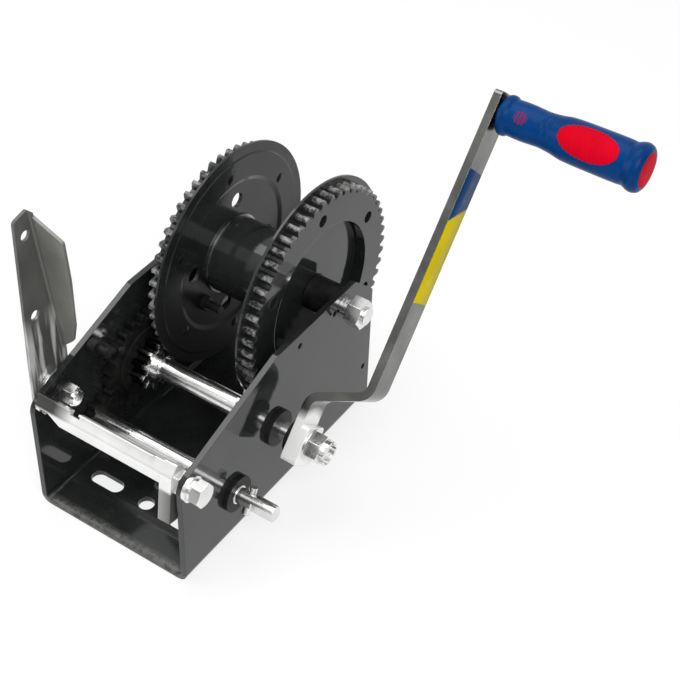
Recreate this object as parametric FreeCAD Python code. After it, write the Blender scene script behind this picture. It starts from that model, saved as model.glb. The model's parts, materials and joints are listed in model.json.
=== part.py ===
import FreeCAD, Part
import math
import os

# Two-speed hand winch for a boat trailer.
# +X points to the crank side, +Y to the back of the frame and +Z up.
# The origin lies on the underside of the base, in the middle of its bolt pattern.
# All sizes are in millimetres and all angles in degrees.

# Folded frame
FRAME_WIDTH = 120.0
FRAME_LENGTH = 206.0
SHEET = 4.0
BEND_INNER = 3.0
FRONT_EDGE_R = 3.2
NOSE_HEIGHT = 89.0
NOSE_ROUND = 11.0
SHOULDER_FROM_FRONT = 98.3
PLATE_HEIGHT = 121.3
SHOULDER_ROUND = 9.0
TOP_END_FROM_BACK = 21.5
BACK_HEIGHT = 100.6
BACK_ROUND = 3.0

# Base holes
HOLE_ROW_SPACING = 138.0
HOLE_R = 5.5
SLOT_LENGTH = 25.0
SLOT_SPACING = 66.0

# Small holes through the right plate, from the back edge and the underside
SMALL_HOLE_R = 2.2
SMALL_HOLES = [(84.3, 112.0), (45.6, 110.9), (7.5, 34.6)]

# Shaft positions, from the back edge and the underside of the frame
DRUM_FROM_BACK = 35.3
DRUM_Z = 110.7
DRIVE_ANGLE = 33.6
LOW_ANGLE = 26.5

# Gears
MODULE = 2.85
PRESSURE_ANGLE = 25.0
DRUM_TEETH = 52
PINION_TEETH = 11
MIDDLE_TEETH = 24
ADDENDUM = 0.68 * MODULE
DEDENDUM = 0.96 * MODULE
BACKLASH = 0.5
GEAR_THICK = 8.5
FLANK_STEPS = 3

# Drum
FLANGE_R = 80.0
FLANGE_THICK = 2.5
FLANGE_LIP = 7.5
FLANGE_LIP_DEPTH = 0.8
FLANGE_BOSS = 1.5
FLANGE_BOSS_SLOPE = 3.0
FLANGE_STEP_R = 56.0
HUB_R = 27.0
HUB_WALL = 3.0
HUB_COLLAR_R = 28.4
HUB_COLLAR_LENGTH = 1.6
GEAR_BORE_R = 52.0
RIVET_CIRCLE_R = 61.5
RIVET_COUNT = 6
RIVET_START = 30.0
RIVET_R = 2.6
RIVET_HEAD_R = 3.6
RIVET_HEAD = 1.0
RIVET_SINK_R = 4.2
RIVET_SINK = 4.0
WINDOW_CIRCLE_R = 40.4
WINDOW_R = 5.5
WINDOW_COUNT = 4
WINDOW_START = 79.5
CLAMP_CIRCLE_R = 38.0
CLAMP_ANGLE = 215.0
CLAMP_BOLT_R = 3.0
CLAMP_HEAD_R = 5.5
CLAMP_HEAD = 4.0
CLAMP_LENGTH = 14.0

# Drum axle
AXLE_R = 6.0
AXLE_HEX_R = 10.4
AXLE_HEAD = 7.5
AXLE_NUT = 10.5
AXLE_NUT_SPACER = 6.5
AXLE_NUT_SPACER_R = 7.8
AXLE_SLEEVE_R = 12.0
AXLE_END = 2.0

# Drive shaft and crank
DRIVE_R = 6.5
TUBE_R = 7.5
BUSHING_R = 9.0
BUSHING_FLANGE_R = 12.8
BUSHING_FLANGE = 3.6
PINION_WIDTH = 14.0
LEFT_PINION_TEETH_WIDTH = 11.5
LEFT_SHOULDER_R = 9.0
LEFT_SHOULDER = 4.0
RIGHT_PINION_GAP = 7.7
MIDDLE_GEAR_GAP = 0.9
MIDDLE_GEAR_THICK = 7.0
DISC_R = 25.0
DISC_THICK = 1.6
CRANK_RADIUS = 237.0
CRANK_ANGLE = 49.3
CRANK_WIDTH = 22.5
CRANK_THICK = 5.5
CRANK_GAP = 16.0
CRANK_OFFSET = 36.0
CRANK_HUB_THICK = 11.0
CRANK_HUB_END = 15.2
CRANK_HUB_TOP = 11.5
CRANK_TOP_END = 12.0
CRANK_END_R = 3.0
CRANK_INNER_REACH = 31.0
CRANK_OUTER_REACH = 47.0
CRANK_BEND_R = 7.0
CRANK_NUT_R = 9.9
CRANK_NUT = 9.0
CROWN_R = 8.4
CROWN = 4.0
CROWN_SLOTS = 6
CROWN_SLOT_WIDTH = 2.6
CROWN_SLOT_DEPTH = 3.0
HUB_DISC_R = 12.0
HUB_DISC = 2.5
CRANK_WASHER_R = 10.8
CRANK_WASHER = 1.6

# Grip
SPINDLE_R = 4.5
SPINDLE_HEAD_R = 7.5
SPINDLE_HEAD = 1.5
GRIP_GAP = 1.5
GRIP_LENGTH = 97.5
GRIP_BORE_CLEARANCE = 0.08
GRIP_COLLAR_R = 13.0
GRIP_NECK_R = 11.4
GRIP_BARREL_R = 14.1
GRIP_FLANGE_R = 15.7
CAP_R = 11.0
CAP_THICK = 3.0

# Half outline of the grip as (share of its length from its near end, radius)
GRIP_OUTLINE = [
    (0.0, GRIP_COLLAR_R - 1.3),
    (0.015, GRIP_COLLAR_R - 0.2),
    (0.046, GRIP_COLLAR_R),
    (0.067, GRIP_COLLAR_R - 1.2),
    (0.185, GRIP_COLLAR_R - 1.2),
    (0.287, GRIP_NECK_R),
    (0.369, GRIP_NECK_R + 0.6),
    (0.451, GRIP_BARREL_R - 0.6),
    (0.595, GRIP_BARREL_R - 0.2),
    (0.8, GRIP_BARREL_R),
    (0.862, GRIP_BARREL_R - 0.1),
    (0.887, GRIP_BARREL_R),
    (0.913, GRIP_FLANGE_R - 0.5),
    (0.944, GRIP_FLANGE_R),
    (0.974, GRIP_FLANGE_R - 0.7),
    (1.0, GRIP_FLANGE_R - 2.8),
]

# Low-speed shaft
LOW_R = 6.5
LOW_STUB_R = 5.6
LOW_STUB_LENGTH = 32.0
LOW_FLAT = 4.4
LOW_FLAT_START = 16.0
LOW_PIN_R = 2.8
LOW_PIN_LENGTH = 19.0
LOW_PIN_TILT = 28.0
LOW_PIN_FROM_PLATE = 12.0

# Front brace: a bent strip between the plates, with a leg at its right end
BRACE_SHEET = 3.0
BRACE_FACE = 0.8
BRACE_BOTTOM_Z = 82.0
BRACE_FOLD_Z = 90.0
BRACE_WEB_DEPTH = 6.0
BRACE_WEB_RISE = 6.4
BRACE_STEP_START = 10.0
BRACE_STEP_END = 20.0
BRACE_NOTCH_AT = 26.3
BRACE_NOTCH_END = 33.4
BRACE_NOTCH_DEPTH = 3.5
BRACE_LIP = 2.4
BRACE_LIP_THICK = 1.6
BRACE_STRIP_END = 11.0
BRACE_CUT_REACH = 9.0
BRACE_STRIP_ROUNDS = [0, 4, 0.5, 0.5, 1, 0]
BRACE_LIP_ROUNDS = [0, 0.4, 0.4, 0]
BRACE_TAB_HALF = 5.0
BRACE_LINK_HEIGHT = 4.0
BRACE_LINK_SET_BACK = 0.5
LEG_GAP = 3.0
LEG_WIDTH = 9.0
LEG_DEPTH = 11.0
LEG_BOTTOM_Z = 55.5
LEG_TOP_Z = 91.5
LEG_LEAN = 0.12
LEG_FRONT = 0.4
LEG_EAR_R = 9.5
LEG_HOOD_REACH = 0.5
LEG_HOOD_RISE = 1.0
LEG_HOOD_THICK = 2.2
LEG_INNER_DROP = 0.5
LEG_SHOULDER_REACH = 5.0
LEG_SHOULDER_DROP = 3.0
LEG_FOOT_TAPER = 2.0
LEG_FRONT_ROUNDS = [0, 6, 1, 1, 3, 0]
LEG_SIDE_ROUNDS = [1, 6, 1, 3, 4, 3]
BRACE_SLEEVE = 4.7
BRACE_SLEEVE_R = 8.0
BRACE_BOLT_FROM_FRONT = 8.1
BRACE_BOLT_Z = 82.3
BOLT_R = 5.0
BOLT_HEX_R = 8.8
BOLT_HEAD = 7.0
BOLT_PROUD = 2.0
WASHER_R = 8.9
WASHER = 2.6
SPRING_WASHER_R = 7.6
SPRING_WASHER = 2.6

# Side lever on the left plate: a flat strip with a wing folded in over the plate
LEVER_FROM_FRONT = 25.0
LEVER_PIVOT_Z = 84.0
LEVER_SHEET = 2.2
LEVER_GAP = 3.0
LEVER_END_R = 14.0
LEVER_TOP_Z = 223.5
LEVER_TOP_FRONT = 11.4
LEVER_TOP_BACK = 25.9
LEVER_BOTTOM_FRONT = 8.3
LEVER_BOTTOM_TAPER = 0.5
LEVER_PEAK_FROM_BACK = 3.0
LEVER_PEAK_RISE = 2.5
LEVER_BACK_DROP = 0.5
LEVER_FLAT_ROUNDS = [LEVER_END_R, 0, 3, 2, 1, 0, LEVER_END_R]
LEVER_FOLD_TOP = (24.8, 217.3)
LEVER_FOLD_BOTTOM = (37.2, 108.0)
LEVER_FOLD_R = 1.5
WING_TOP_WIDTH = 22.5
WING_TOP_TAPER = 1.5
WING_TOP_DOWN = 7.5
WING_TAPER_DOWN = 40.0
WING_MIDDLE_WIDTH = 16.0
WING_MIDDLE_UP = 28.0
WING_BOTTOM_WIDTH = 11.5
WING_BOTTOM_UP = 12.0
WING_OVERRUN = 3.0
WING_ROUNDS = [0, 0, 2, 8, 10, 3, 0]
LEVER_HOLES = [(19.0, 209.6), (18.3, 148.3)]
LEVER_HOLE_R = 3.6
GROOVE_TOP = (15.8, 139.8)
GROOVE_BOTTOM = (20.6, 104.0)
GROOVE_WIDTH = 7.0
GROOVE_DEPTH = 0.9
LEVER_BOLT_R = 5.0
LEVER_HEX_R = 7.4
LEVER_NUT = 7.0
LEVER_WASHER_R = 13.5

# Pawl on the left plate
PAWL_STUD_FROM_FRONT = 54.5
PAWL_STUD_Z = 101.5
PAWL_STUD_R = 2.6
PAWL_STUD_LENGTH = 16.0
PAWL_STUD_HEAD = 1.5
PAWL_STUD_HEAD_PROUD = 1.4
PAWL_THICK = 6.0
PAWL_HUB_R = 5.5
PAWL_TIP = 3.0
PAWL_TIP_GAP = 0.4

# Fits and the share of a hexagon's corner radius that is turned off
HEX_CHAMFER = 0.08
RUNNING_FIT = 0.05
CLEARANCE = 0.3
SIDE_GAP = 0.5

V = FreeCAD.Vector
AXIS_X = V(1, 0, 0)

FRONT_Y = -FRAME_LENGTH / 2
BACK_Y = FRAME_LENGTH / 2
PLATE_OUT = FRAME_WIDTH / 2
PLATE_IN = PLATE_OUT - SHEET

DRUM_Y = BACK_Y - DRUM_FROM_BACK
DRUM_CENTRES = MODULE * (DRUM_TEETH + PINION_TEETH) / 2
DRIVE_Y = DRUM_Y - DRUM_CENTRES * math.cos(math.radians(DRIVE_ANGLE))
DRIVE_Z = DRUM_Z - DRUM_CENTRES * math.sin(math.radians(DRIVE_ANGLE))
LOW_CENTRES = MODULE * (MIDDLE_TEETH + PINION_TEETH) / 2
LOW_Y = DRIVE_Y - LOW_CENTRES * math.cos(math.radians(LOW_ANGLE))
LOW_Z = DRIVE_Z - LOW_CENTRES * math.sin(math.radians(LOW_ANGLE))
TOWARDS_DRIVE = 180 + DRIVE_ANGLE
TOWARDS_LOW = 180 + LOW_ANGLE

MIDDLE_GEAR_X = -PLATE_IN + MIDDLE_GEAR_GAP
LEFT_PINION_X = MIDDLE_GEAR_X + MIDDLE_GEAR_THICK + DISC_THICK
RIGHT_PINION_X = PLATE_IN - RIGHT_PINION_GAP - PINION_WIDTH
LEFT_FLANGE_X = LEFT_PINION_X + PINION_WIDTH + SIDE_GAP
RIGHT_FLANGE_X = RIGHT_PINION_X - SIDE_GAP
LEFT_INNER_X = LEFT_FLANGE_X + FLANGE_THICK
RIGHT_INNER_X = RIGHT_FLANGE_X - FLANGE_THICK
HUB_LEFT_X = LEFT_INNER_X - FLANGE_BOSS
HUB_RIGHT_X = RIGHT_INNER_X + FLANGE_BOSS

CRANK_INNER_X = PLATE_OUT + CRANK_GAP
CRANK_OUTER_X = CRANK_INNER_X + CRANK_OFFSET
LOW_END_X = PLATE_OUT + LOW_STUB_LENGTH
LOW_PIN_X = PLATE_OUT + LOW_PIN_FROM_PLATE

LEG_X = PLATE_IN - LEG_GAP
BRACE_BOLT_Y = FRONT_Y + BRACE_BOLT_FROM_FRONT
LEVER_Y = FRONT_Y + LEVER_FROM_FRONT
PAWL_Y = FRONT_Y + PAWL_STUD_FROM_FRONT


def rod(x0, x1, y, z, radius):
    """Round bar along X."""
    return Part.makeCylinder(radius, x1 - x0, V(x0, y, z), AXIS_X)


def ring(x0, x1, y, z, outer, inner):
    """Round tube along X."""
    return rod(x0, x1, y, z, outer).cut(rod(x0 - 1, x1 + 1, y, z, inner))


def hexagon(x0, x1, y, z, corner_r):
    """Hexagonal bar along X with its outer corners turned off."""
    points = []
    for k in range(7):
        a = math.radians(60 * k)
        points.append(V(x0, y + corner_r * math.cos(a), z + corner_r * math.sin(a)))
    bar = Part.Face(Part.makePolygon(points)).extrude(V(x1 - x0, 0, 0))
    chamfer = HEX_CHAMFER * corner_r
    turned = rod(x0, x1 - chamfer, y, z, corner_r)
    cone = Part.makeCone(corner_r, corner_r - 2 * chamfer, chamfer, V(x1 - chamfer, y, z), AXIS_X)
    return bar.common(turned.fuse(cone))


def box(x0, x1, y0, y1, z0, z1):
    """Box from its low and high corners."""
    return Part.makeBox(x1 - x0, y1 - y0, z1 - z0, V(x0, y0, z0))


def rounded_wire(points, radii, place):
    """Closed wire through corner points, each rounded by its own radius."""
    edges = []
    count = len(points)
    starts = []
    ends = []
    for k in range(count):
        here = V(*points[k], 0)
        back = V(*points[k - 1], 0) - here
        forward = V(*points[(k + 1) % count], 0) - here
        back.normalize()
        forward.normalize()
        turn = back.getAngle(forward)
        reach = radii[k] / math.tan(turn / 2)
        starts.append(here + back * reach)
        ends.append(here + forward * reach)
        if radii[k] > 0:
            bisector = back + forward
            bisector.normalize()
            middle = here + bisector * (radii[k] / math.sin(turn / 2) - radii[k])
            edges.append(("arc", starts[k], middle, ends[k]))
        else:
            edges.append(("corner", here, here, here))
    made = []
    for k in range(count):
        kind, start, middle, end = edges[k]
        if kind == "arc":
            made.append(Part.Arc(place(start), place(middle), place(end)).toShape())
        nxt = edges[(k + 1) % count][1]
        if end.distanceToPoint(nxt) > 1e-6:
            made.append(Part.LineSegment(place(end), place(nxt)).toShape())
    return Part.Wire(made)


def side_outline():
    """Outline of a side plate in the YZ plane, as corner points and corner radii."""
    points = [
        (FRONT_Y, 0),
        (FRONT_Y, NOSE_HEIGHT),
        (FRONT_Y + SHOULDER_FROM_FRONT, PLATE_HEIGHT),
        (BACK_Y - TOP_END_FROM_BACK, PLATE_HEIGHT),
        (BACK_Y, BACK_HEIGHT),
        (BACK_Y, 0),
    ]
    radii = [0, NOSE_ROUND, SHOULDER_ROUND, BACK_ROUND, BACK_ROUND, 0]
    return points, radii


def channel():
    """Folded channel: base and two sides with bent corners, as long as the frame."""
    outer = BEND_INNER + SHEET
    top = PLATE_HEIGHT
    outside = [(-PLATE_OUT, top), (-PLATE_OUT, 0), (PLATE_OUT, 0), (PLATE_OUT, top)]
    inside = [(PLATE_IN, top), (PLATE_IN, SHEET), (-PLATE_IN, SHEET), (-PLATE_IN, top)]
    radii = [0, outer, outer, 0, 0, BEND_INNER, BEND_INNER, 0]
    wire = rounded_wire(outside + inside, radii, lambda p: V(p.x, FRONT_Y, p.y))
    return Part.Face(wire).extrude(V(0, FRAME_LENGTH, 0))


def slot(x, y, length, radius):
    """Slot cutter through the base, long side along X."""
    half = length / 2 - radius
    cutter = box(x - half, x + half, y - radius, y + radius, -1, SHEET + 1)
    for end in (-half, half):
        cutter = cutter.fuse(Part.makeCylinder(radius, SHEET + 2, V(x + end, y, -1)))
    return cutter


def make_frame():
    points, radii = side_outline()
    wire = rounded_wire(points, radii, lambda p: V(-PLATE_OUT, p.x, p.y))
    profile = Part.Face(wire).extrude(V(FRAME_WIDTH, 0, 0))
    frame = channel().common(profile)
    front_edge = box(-PLATE_IN + BEND_INNER, PLATE_IN - BEND_INNER, FRONT_Y - 1,
                     FRONT_Y + FRONT_EDGE_R, SHEET - FRONT_EDGE_R, SHEET + 1)
    rounding = rod(-PLATE_IN, PLATE_IN, FRONT_Y + FRONT_EDGE_R, SHEET - FRONT_EDGE_R,
                   FRONT_EDGE_R)
    frame = frame.cut(front_edge.cut(rounding))
    for row in (-HOLE_ROW_SPACING / 2, HOLE_ROW_SPACING / 2):
        frame = frame.cut(Part.makeCylinder(HOLE_R, SHEET + 2, V(0, row, -1)))
    for x in (-SLOT_SPACING / 2, SLOT_SPACING / 2):
        frame = frame.cut(slot(x, -HOLE_ROW_SPACING / 2, SLOT_LENGTH, HOLE_R))
    through = rod(-PLATE_OUT - 1, PLATE_OUT + 1, DRUM_Y, DRUM_Z, AXLE_R + RUNNING_FIT)
    frame = frame.cut(through)
    for y, z in ((DRIVE_Y, DRIVE_Z), (LOW_Y, LOW_Z)):
        frame = frame.cut(rod(-PLATE_OUT - 1, PLATE_OUT + 1, y, z, BUSHING_R))
    right = rod(PLATE_IN - 1, PLATE_OUT + 1, BRACE_BOLT_Y, BRACE_BOLT_Z, BOLT_R)
    left = rod(-PLATE_OUT - 1, -PLATE_IN + 1, LEVER_Y, LEVER_PIVOT_Z, LEVER_BOLT_R)
    stud = rod(-PLATE_OUT - 1, -PLATE_IN + 1, PAWL_Y, PAWL_STUD_Z, PAWL_STUD_R)
    small = []
    for y, z in SMALL_HOLES:
        small.append(rod(PLATE_IN - 1, PLATE_OUT + 1, BACK_Y - y, z, SMALL_HOLE_R))
    return frame.cut(right).cut(left).cut(stud).cut(small)


def gear_outline(teeth, tooth_at, y, z, x):
    """Closed outline of a spur gear with a tooth centred on the angle tooth_at."""
    pitch_r = MODULE * teeth / 2
    base_r = pitch_r * math.cos(math.radians(PRESSURE_ANGLE))
    tip_r = pitch_r + ADDENDUM
    root_r = pitch_r - DEDENDUM
    start_r = max(base_r, root_r)

    def involute(r):
        a = math.acos(min(1.0, base_r / r))
        return math.tan(a) - a

    half_pitch = math.pi / (2 * teeth) - BACKLASH / (4 * pitch_r) + involute(pitch_r)
    flank = [start_r + (tip_r - start_r) * k / FLANK_STEPS for k in range(FLANK_STEPS + 1)]
    if start_r > root_r:
        flank.insert(0, root_r)
    points = []
    for tooth in range(teeth):
        centre = math.radians(tooth_at) + 2 * math.pi * tooth / teeth
        rising = [(r, centre - half_pitch + involute(max(r, start_r))) for r in flank]
        falling = [(r, centre + half_pitch - involute(max(r, start_r))) for r in reversed(flank)]
        for r, a in rising + falling:
            points.append(V(x, y + r * math.cos(a), z + r * math.sin(a)))
    points.append(points[0])
    return Part.makePolygon(points)


def gear(teeth, tooth_at, y, z, x0, x1, bore):
    """Spur gear between two X positions."""
    body = Part.Face(gear_outline(teeth, tooth_at, y, z, x0)).extrude(V(x1 - x0, 0, 0))
    return body.cut(rod(x0 - 1, x1 + 1, y, z, bore))


def around(count, start, radius):
    """Centres of evenly spaced features round the drum axis."""
    centres = []
    for k in range(count):
        a = math.radians(start + 360.0 * k / count)
        centres.append((DRUM_Y + radius * math.cos(a), DRUM_Z + radius * math.sin(a)))
    return centres


def flange(inner_x, away):
    """Pressed drum flange; away is -1 on the left and 1 on the right.

    Its middle is pressed outwards, into the bore of the gear ring.
    """
    def at(x, r):
        return V(inner_x + away * x, DRUM_Y + r, DRUM_Z)

    boss_r = GEAR_BORE_R - CLEARANCE
    lip_r = FLANGE_R - FLANGE_LIP
    hole = AXLE_SLEEVE_R + 2 * CLEARANCE
    points = [
        at(FLANGE_BOSS, hole),
        at(FLANGE_BOSS, FLANGE_STEP_R - FLANGE_BOSS_SLOPE),
        at(0, FLANGE_STEP_R),
        at(0, lip_r),
        at(FLANGE_LIP_DEPTH, lip_r + FLANGE_LIP_DEPTH),
        at(FLANGE_LIP_DEPTH, FLANGE_R),
        at(FLANGE_THICK, FLANGE_R),
        at(FLANGE_THICK, boss_r),
        at(FLANGE_THICK + FLANGE_BOSS, boss_r - FLANGE_BOSS / 2),
        at(FLANGE_THICK + FLANGE_BOSS, hole),
    ]
    points.append(points[0])
    face = Part.Face(Part.makePolygon(points))
    disc = face.revolve(V(0, DRUM_Y, DRUM_Z), AXIS_X, 360)
    ends = (inner_x - away, inner_x + away * (FLANGE_THICK + FLANGE_BOSS + 1))
    low, high = min(ends), max(ends)
    if away < 0:
        for y, z in around(WINDOW_COUNT, WINDOW_START, WINDOW_CIRCLE_R):
            disc = disc.cut(rod(low, high, y, z, WINDOW_R))
    for y, z in around(RIVET_COUNT, RIVET_START, RIVET_CIRCLE_R):
        disc = disc.cut(rod(low, high, y, z, RIVET_R))
    return disc


def drum_gear(inner_x, away):
    """Toothed ring riveted to a drum flange, with a sink round each rivet's end."""
    near = inner_x + away * FLANGE_THICK
    far = near + away * GEAR_THICK
    x0, x1 = min(near, far), max(near, far)
    ring_gear = gear(DRUM_TEETH, TOWARDS_DRIVE, DRUM_Y, DRUM_Z, x0, x1, GEAR_BORE_R)
    ends = (far - away * RIVET_SINK, far + away)
    for y, z in around(RIVET_COUNT, RIVET_START, RIVET_CIRCLE_R):
        ring_gear = ring_gear.cut(rod(x0 - 1, x1 + 1, y, z, RIVET_R))
        ring_gear = ring_gear.cut(rod(min(ends), max(ends), y, z, RIVET_SINK_R))
    return ring_gear


def rivets(inner_x, away):
    """Rivets of one flange, as separate solids, with domed heads in the rope space."""
    made = []
    tail = inner_x + away * (FLANGE_THICK + GEAR_THICK - RIVET_SINK)
    for y, z in around(RIVET_COUNT, RIVET_START, RIVET_CIRCLE_R):
        shank = rod(min(inner_x, tail), max(inner_x, tail), y, z, RIVET_R)
        dome_r = (RIVET_HEAD_R ** 2 + RIVET_HEAD ** 2) / (2 * RIVET_HEAD)
        ball = Part.makeSphere(dome_r, V(inner_x + away * (dome_r - RIVET_HEAD), y, z))
        x_out = inner_x - away * RIVET_HEAD
        head = ball.common(rod(min(inner_x, x_out), max(inner_x, x_out), y, z, RIVET_HEAD_R))
        made.append(shank.fuse(head).removeSplitter())
    return Part.makeCompound(made)


def make_hub():
    outside = rod(HUB_LEFT_X, HUB_RIGHT_X, DRUM_Y, DRUM_Z, HUB_R)
    inside = rod(HUB_LEFT_X - 1, HUB_RIGHT_X + 1, DRUM_Y, DRUM_Z, HUB_R - HUB_WALL)
    return outside.cut(inside)


def drum_bushing():
    """Bearing tube of the drum, which turns on the axle sleeve."""
    left = HUB_LEFT_X - FLANGE_THICK
    right = HUB_RIGHT_X + FLANGE_THICK
    return ring(left, right, DRUM_Y, DRUM_Z, AXLE_SLEEVE_R + 2 * CLEARANCE,
                AXLE_R + RUNNING_FIT)


def clamp_place():
    a = math.radians(CLAMP_ANGLE)
    return DRUM_Y + CLAMP_CIRCLE_R * math.cos(a), DRUM_Z + CLAMP_CIRCLE_R * math.sin(a)


def make_axle():
    end = PLATE_OUT + AXLE_NUT_SPACER + AXLE_NUT + AXLE_END
    shank = rod(-PLATE_OUT, end, DRUM_Y, DRUM_Z, AXLE_R)
    head = hexagon(-PLATE_OUT, -PLATE_OUT + AXLE_HEAD, DRUM_Y, DRUM_Z, AXLE_HEX_R)
    head = head.mirror(V(-PLATE_OUT, 0, 0), AXIS_X)
    return shank.fuse(head)


def bushing(plate_x, away, y, z, shaft_r):
    """Flanged bushing in a side plate; away is -1 on the left and 1 on the right."""
    inner = plate_x - away * SHEET
    outer = plate_x + away * BUSHING_FLANGE
    body = rod(min(inner, plate_x), max(inner, plate_x), y, z, BUSHING_R)
    collar = rod(min(outer, plate_x), max(outer, plate_x), y, z, BUSHING_FLANGE_R)
    hole = rod(min(inner, outer) - 1, max(inner, outer) + 1, y, z, shaft_r + RUNNING_FIT)
    return body.fuse(collar).cut(hole)


def make_drive_shaft():
    left = -PLATE_OUT - BUSHING_FLANGE - SIDE_GAP
    right = CRANK_INNER_X + CRANK_HUB_THICK + CRANK_WASHER + CRANK_NUT + CROWN / 2
    return rod(left, right, DRIVE_Y, DRIVE_Z, DRIVE_R)


def crank_place(reach, side, x):
    """Point on the crank: reach along it, side across it."""
    a = math.radians(CRANK_ANGLE)
    y = DRIVE_Y + reach * math.cos(a) - side * math.sin(a)
    z = DRIVE_Z + reach * math.sin(a) + side * math.cos(a)
    return V(x, y, z)


def make_crank():
    """Flat bar with two bends and a thicker block round the drive shaft."""
    half = CRANK_WIDTH / 2
    lean = math.atan2(CRANK_OUTER_X - CRANK_INNER_X, CRANK_OUTER_REACH - CRANK_INNER_REACH)
    shift = CRANK_THICK * math.tan(lean / 2)
    top_end = CRANK_RADIUS + CRANK_TOP_END
    near = [
        (-CRANK_HUB_END, CRANK_INNER_X),
        (CRANK_INNER_REACH, CRANK_INNER_X),
        (CRANK_OUTER_REACH, CRANK_OUTER_X),
        (top_end, CRANK_OUTER_X),
    ]
    far = [
        (top_end, CRANK_OUTER_X + CRANK_THICK),
        (CRANK_OUTER_REACH - shift, CRANK_OUTER_X + CRANK_THICK),
        (CRANK_INNER_REACH - shift, CRANK_INNER_X + CRANK_THICK),
        (-CRANK_HUB_END, CRANK_INNER_X + CRANK_THICK),
    ]
    inner_r = CRANK_BEND_R
    outer_r = CRANK_BEND_R + CRANK_THICK
    radii = [0, outer_r, inner_r, 0, 0, outer_r, inner_r, 0]
    wire = rounded_wire(near + far, radii, lambda p: crank_place(p.x, -half, p.y))
    a = math.radians(CRANK_ANGLE)
    across = V(0, -math.sin(a), math.cos(a)) * CRANK_WIDTH
    bar = Part.Face(wire).extrude(across)
    whole_plan = crank_plan(-CRANK_HUB_END, top_end, CRANK_INNER_X - 1,
                            CRANK_OUTER_X + CRANK_THICK + 1)
    block = crank_plan(-CRANK_HUB_END, CRANK_HUB_TOP, CRANK_INNER_X,
                       CRANK_INNER_X + CRANK_HUB_THICK)
    bar = bar.common(whole_plan).fuse(block).removeSplitter()
    hub_hole = rod(CRANK_INNER_X - 1, CRANK_INNER_X + CRANK_HUB_THICK + 1, DRIVE_Y, DRIVE_Z,
                   DRIVE_R)
    top = crank_place(CRANK_RADIUS, 0, CRANK_OUTER_X)
    top_hole = rod(CRANK_OUTER_X - 1, CRANK_OUTER_X + CRANK_THICK + 1, top.y, top.z, SPINDLE_R)
    return bar.cut(hub_hole).cut(top_hole)


def crank_plan(reach0, reach1, x0, x1):
    """Block as wide as the crank bar, with rounded corners, between two reaches."""
    half = CRANK_WIDTH / 2
    points = [(reach0, -half), (reach1, -half), (reach1, half), (reach0, half)]
    wire = rounded_wire(points, [CRANK_END_R] * 4, lambda p: crank_place(p.x, p.y, x0))
    return Part.Face(wire).extrude(V(x1 - x0, 0, 0))


def grip_axis():
    return crank_place(CRANK_RADIUS, 0, 0)


def make_spindle():
    """Spindle riveted into the crank, with a head that keeps the grip on."""
    c = grip_axis()
    start = CRANK_OUTER_X
    end = CRANK_OUTER_X + CRANK_THICK + GRIP_GAP + GRIP_LENGTH - 2 * CAP_THICK
    shank = rod(start, end, c.y, c.z, SPINDLE_R)
    flat = rod(start - SPINDLE_HEAD, start, c.y, c.z, SPINDLE_HEAD_R)
    return shank.fuse(flat)


def make_grip():
    c = grip_axis()
    x0 = CRANK_OUTER_X + CRANK_THICK + GRIP_GAP
    bore = SPINDLE_R + GRIP_BORE_CLEARANCE
    points = [V(x0, c.y + bore, c.z)]
    for share, r in GRIP_OUTLINE:
        points.append(V(x0 + share * GRIP_LENGTH, c.y + r, c.z))
    x1 = x0 + GRIP_LENGTH
    points.append(V(x1, c.y + CAP_R, c.z))
    points.append(V(x1 - CAP_THICK, c.y + CAP_R, c.z))
    points.append(V(x1 - CAP_THICK, c.y + bore, c.z))
    points.append(points[0])
    return Part.Face(Part.makePolygon(points)).revolve(V(0, c.y, c.z), AXIS_X, 360)


def make_cap():
    c = grip_axis()
    x1 = CRANK_OUTER_X + CRANK_THICK + GRIP_GAP + GRIP_LENGTH
    return rod(x1 - CAP_THICK, x1, c.y, c.z, CAP_R)


def make_low_shaft():
    left = -PLATE_OUT - BUSHING_FLANGE - SIDE_GAP
    step = PLATE_OUT + BUSHING_FLANGE + SIDE_GAP
    main = rod(left, step, LOW_Y, LOW_Z, LOW_R)
    stub = rod(step, LOW_END_X, LOW_Y, LOW_Z, LOW_STUB_R)
    half = LOW_STUB_R + 1
    flat_x = PLATE_OUT + LOW_FLAT_START
    keep = box(flat_x, LOW_END_X + 1, LOW_Y - LOW_FLAT, LOW_Y + LOW_FLAT,
               LOW_Z - half, LOW_Z + half)
    inner = box(step - 1, flat_x, LOW_Y - half, LOW_Y + half, LOW_Z - half, LOW_Z + half)
    return main.fuse(stub.common(keep.fuse(inner))).cut(make_low_pin())


def make_low_pin():
    """Cross pin through the low shaft's end, leaning back from upright."""
    lean = math.radians(LOW_PIN_TILT)
    direction = V(0, math.sin(lean), math.cos(lean))
    foot = V(LOW_PIN_X, LOW_Y, LOW_Z) - direction * (LOW_PIN_LENGTH / 2)
    return Part.makeCylinder(LOW_PIN_R, LOW_PIN_LENGTH, foot, direction)


def castle_nut(x0, y, z):
    """Hexagon nut with a slotted crown on its outer end."""
    hex_end = x0 + CRANK_NUT
    whole = hexagon(x0, hex_end, y, z, CRANK_NUT_R).fuse(rod(x0, hex_end + CROWN, y, z, CROWN_R))
    whole = whole.cut(rod(x0 - 1, hex_end + CROWN + 1, y, z, DRIVE_R))
    half = CROWN_SLOT_WIDTH / 2
    floor = hex_end + CROWN - CROWN_SLOT_DEPTH
    cutter = box(floor, hex_end + CROWN + 1, -CROWN_R - 1, CROWN_R + 1, -half, half)
    for k in range(CROWN_SLOTS // 2):
        turned = cutter.copy()
        turned.rotate(V(0, 0, 0), AXIS_X, 360.0 * k / CROWN_SLOTS)
        turned.translate(V(0, y, z))
        whole = whole.cut(turned)
    return whole


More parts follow.
